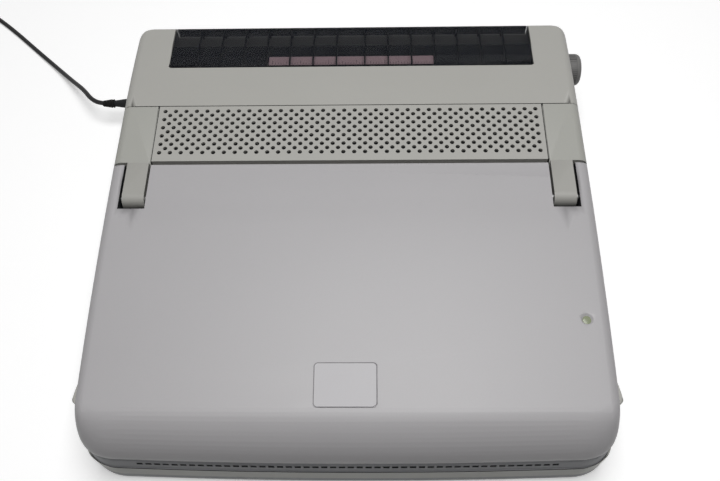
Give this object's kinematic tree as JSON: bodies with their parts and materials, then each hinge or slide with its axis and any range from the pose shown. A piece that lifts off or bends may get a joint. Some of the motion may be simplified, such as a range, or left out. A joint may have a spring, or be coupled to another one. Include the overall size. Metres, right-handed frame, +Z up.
{
  "type": "electronic word processor",
  "caption": "Portable electronic word processor with a folding lid over its keyboard, built-in printer under a smoked cover, side disk drive and a coiled power lead.",
  "frame": {"origin": "middle of the machine, with its knob and latches and without its lead, at the plane that its rubber feet stand on", "axes": "+X to the right across the machine, as seen by someone at the keyboard; +Y from the keyboard to the printer at the rear; +Z up"},
  "size_m": [0.6814, 0.524, 0.095],
  "materials": {
    "rear_shell": "fine-textured moulded plastic, pale warm grey",
    "top_case": "fine-textured moulded plastic, pale warm grey",
    "lid_top": "fine-textured moulded plastic, pale grey",
    "lid_skirt": "fine-textured moulded plastic, pale grey",
    "base_tray": "textured moulded plastic, pale grey",
    "badge": "smooth moulded plastic, bare",
    "trim": "smooth moulded plastic",
    "knob": "ribbed moulded plastic, mid grey",
    "smoked_cover": "smoked clear plastic",
    "dark_plastic": "black moulded plastic",
    "key_caps": "fine-textured moulded plastic, off white",
    "function_caps": "fine-textured moulded plastic, mid grey",
    "scale": "printed plastic strip",
    "display": "liquid crystal glass, dull grey green",
    "lamp": "diffusing clear plastic",
    "rubber": "black rubber",
    "steel": "plated steel",
    "ground_steel": "ground steel",
    "board": "green circuit board with components",
    "gear_plastic": "natural acetal",
    "cell_sleeve": "shrink sleeve",
    "lead": "soft black vinyl"
  },
  "bodies": {
    "base": {"base_bottom_case": "base_tray", "battery_hatch": "base_tray", "battery_pack": "cell_sleeve", "rubber_feet": "rubber", "case_screws": "steel", "base_top_case": "top_case", "grille_panel": "rear_shell", "printer_housing": "rear_shell", "hinge_arm_left": "trim", "hinge_arm_right": "trim", "key_frame": "dark_plastic", "main_board": "board", "power_board": "board", "floppy_drive": "dark_plastic", "dc_socket": "dark_plastic", "power_switch": "dark_plastic", "printer_frame": "steel", "feed_motor": "steel", "carriage_rail": "ground_steel", "paper_guide": "dark_plastic", "scale_bar": "dark_plastic", "paper_scale": "scale", "carriage_motor": "steel", "carriage_belt": "rubber", "dc_plug": "dark_plastic", "dc_cable": "lead", "cable_coil": "lead", "wall_adapter": "dark_plastic"},
    "lid": {"lid_shell": "lid_top", "badge_plate": "badge", "lid_bezel": "lid_skirt", "display_panel": "display", "charge_lamp": "lamp", "hinge_pins": "ground_steel"},
    "contrast_wheel": {"contrast_wheel": "knob"},
    "latch_left": {"latch_left": "trim"},
    "latch_right": {"latch_right": "trim"},
    "printer_cover": {"printer_cover": "smoked_cover"},
    "platen": {"platen_shaft": "ground_steel", "platen_roller": "rubber", "platen_gear": "gear_plastic", "feed_knob": "knob"},
    "feed_idler": {"feed_idler": "gear_plastic"},
    "feed_pinion": {"feed_pinion": "gear_plastic"},
    "pinch_rollers": {"pinch_rollers": "rubber"},
    "carriage": {"carriage": "dark_plastic", "print_head": "steel", "ribbon_cassette": "dark_plastic"},
    "drive_pulley": {"drive_pulley": "gear_plastic"},
    "idle_pulley": {"idle_pulley": "gear_plastic"},
    "floppy_door": {"floppy_door": "dark_plastic"},
    "eject_button": {"eject_button": "dark_plastic"},
    "power_slider": {"power_slider": "knob"},
    "function_keys": {"function_keys": "function_caps"},
    "space_bar": {"space_bar": "key_caps"},
    "key_row_1": {"key_row_1": "key_caps"},
    "key_row_2": {"key_row_2": "key_caps"},
    "key_row_3": {"key_row_3": "key_caps"},
    "key_row_4": {"key_row_4": "key_caps"},
    "key_row_5": {"key_row_5": "key_caps"}
  },
  "joints": [
    {"name": "lid_hinge", "type": "hinge", "parent": "base", "child": "lid", "pos_m": [-0.0055, 0.01, 0.087], "axis": [-1, 0, 0], "range_deg": [0, 115]},
    {"name": "contrast_turn", "type": "hinge", "parent": "lid", "child": "contrast_wheel", "pos_m": [0.1445, -0.111, 0.0575], "axis": [0, 0, 1], "range_deg": [-135, 135]},
    {"name": "printer_cover_hinge", "type": "hinge", "parent": "base", "child": "printer_cover", "pos_m": [-0.0055, 0.1464, 0.09049], "axis": [1, 0, 0], "range_deg": [0, 95]},
    {"name": "platen_turn", "type": "hinge", "parent": "base", "child": "platen", "pos_m": [-0.0055, 0.163, 0.063], "axis": [1, 0, 0], "continuous": true},
    {"name": "idler_turn", "type": "hinge", "parent": "base", "child": "feed_idler", "pos_m": [-0.1785, 0.15948, 0.04306], "axis": [1, 0, 0], "continuous": true},
    {"name": "pinion_turn", "type": "hinge", "parent": "base", "child": "feed_pinion", "pos_m": [-0.1785, 0.16161, 0.03099], "axis": [1, 0, 0], "continuous": true},
    {"name": "pinch_turn", "type": "hinge", "parent": "base", "child": "pinch_rollers", "pos_m": [-0.0055, 0.163, 0.0507], "axis": [1, 0, 0], "continuous": true},
    {"name": "carriage_slide", "type": "slide", "parent": "base", "child": "carriage", "axis": [-1, 0, 0], "range_m": [0, 0.28]},
    {"name": "drive_pulley_turn", "type": "hinge", "parent": "base", "child": "drive_pulley", "pos_m": [0.1465, 0.1189, 0.05], "axis": [0, 0, 1], "range_deg": [-60, 2900]},
    {"name": "idle_pulley_turn", "type": "hinge", "parent": "base", "child": "idle_pulley", "pos_m": [-0.1575, 0.1189, 0.05], "axis": [0, 0, 1], "range_deg": [-60, 2900]},
    {"name": "floppy_door_hinge", "type": "hinge", "parent": "base", "child": "floppy_door", "pos_m": [0.1869, -0.004, 0.0312], "axis": [0, 1, 0], "range_deg": [0, 85], "stiffness_Nm_per_rad": 0.0004, "springref_deg": -17.19},
    {"name": "eject_press", "type": "slide", "parent": "base", "child": "eject_button", "axis": [-1, 0, 0], "range_m": [0, 0.003], "stiffness_N_per_m": 300, "springref_m": -0.002},
    {"name": "power_slide", "type": "slide", "parent": "base", "child": "power_slider", "axis": [0, 1, 0], "range_m": [0, 0.004]},
    {"name": "latch_left_slide", "type": "slide", "parent": "lid", "child": "latch_left", "axis": [0, 1, 0], "range_m": [0, 0.005], "stiffness_N_per_m": 300, "springref_m": -0.004},
    {"name": "latch_right_slide", "type": "slide", "parent": "lid", "child": "latch_right", "axis": [0, 1, 0], "range_m": [0, 0.005], "stiffness_N_per_m": 300, "springref_m": -0.004},
    {"name": "key_row_1_press", "type": "slide", "parent": "base", "child": "key_row_1", "axis": [0, 0, -1], "range_m": [0, 0.003], "stiffness_N_per_m": 900, "springref_m": -0.003},
    {"name": "key_row_2_press", "type": "slide", "parent": "base", "child": "key_row_2", "axis": [0, 0, -1], "range_m": [0, 0.003], "stiffness_N_per_m": 900, "springref_m": -0.003},
    {"name": "key_row_3_press", "type": "slide", "parent": "base", "child": "key_row_3", "axis": [0, 0, -1], "range_m": [0, 0.003], "stiffness_N_per_m": 900, "springref_m": -0.003},
    {"name": "key_row_4_press", "type": "slide", "parent": "base", "child": "key_row_4", "axis": [0, 0, -1], "range_m": [0, 0.003], "stiffness_N_per_m": 900, "springref_m": -0.003},
    {"name": "key_row_5_press", "type": "slide", "parent": "base", "child": "key_row_5", "axis": [0, 0, -1], "range_m": [0, 0.003], "stiffness_N_per_m": 900, "springref_m": -0.003},
    {"name": "function_keys_press", "type": "slide", "parent": "base", "child": "function_keys", "axis": [0, 0, -1], "range_m": [0, 0.003], "stiffness_N_per_m": 900, "springref_m": -0.003},
    {"name": "space_bar_press", "type": "slide", "parent": "base", "child": "space_bar", "axis": [0, 0, -1], "range_m": [0, 0.003], "stiffness_N_per_m": 300, "springref_m": -0.003}
  ],
  "couplings": [
    {"joint": "idler_turn", "follows": "platen_turn", "ratio": -1.5},
    {"joint": "pinion_turn", "follows": "platen_turn", "ratio": 3},
    {"joint": "pinch_turn", "follows": "platen_turn", "ratio": -2},
    {"joint": "drive_pulley_turn", "follows": "carriage_slide", "rad_per_m": 175.44},
    {"joint": "idle_pulley_turn", "follows": "carriage_slide", "rad_per_m": 175.44}
  ]
}
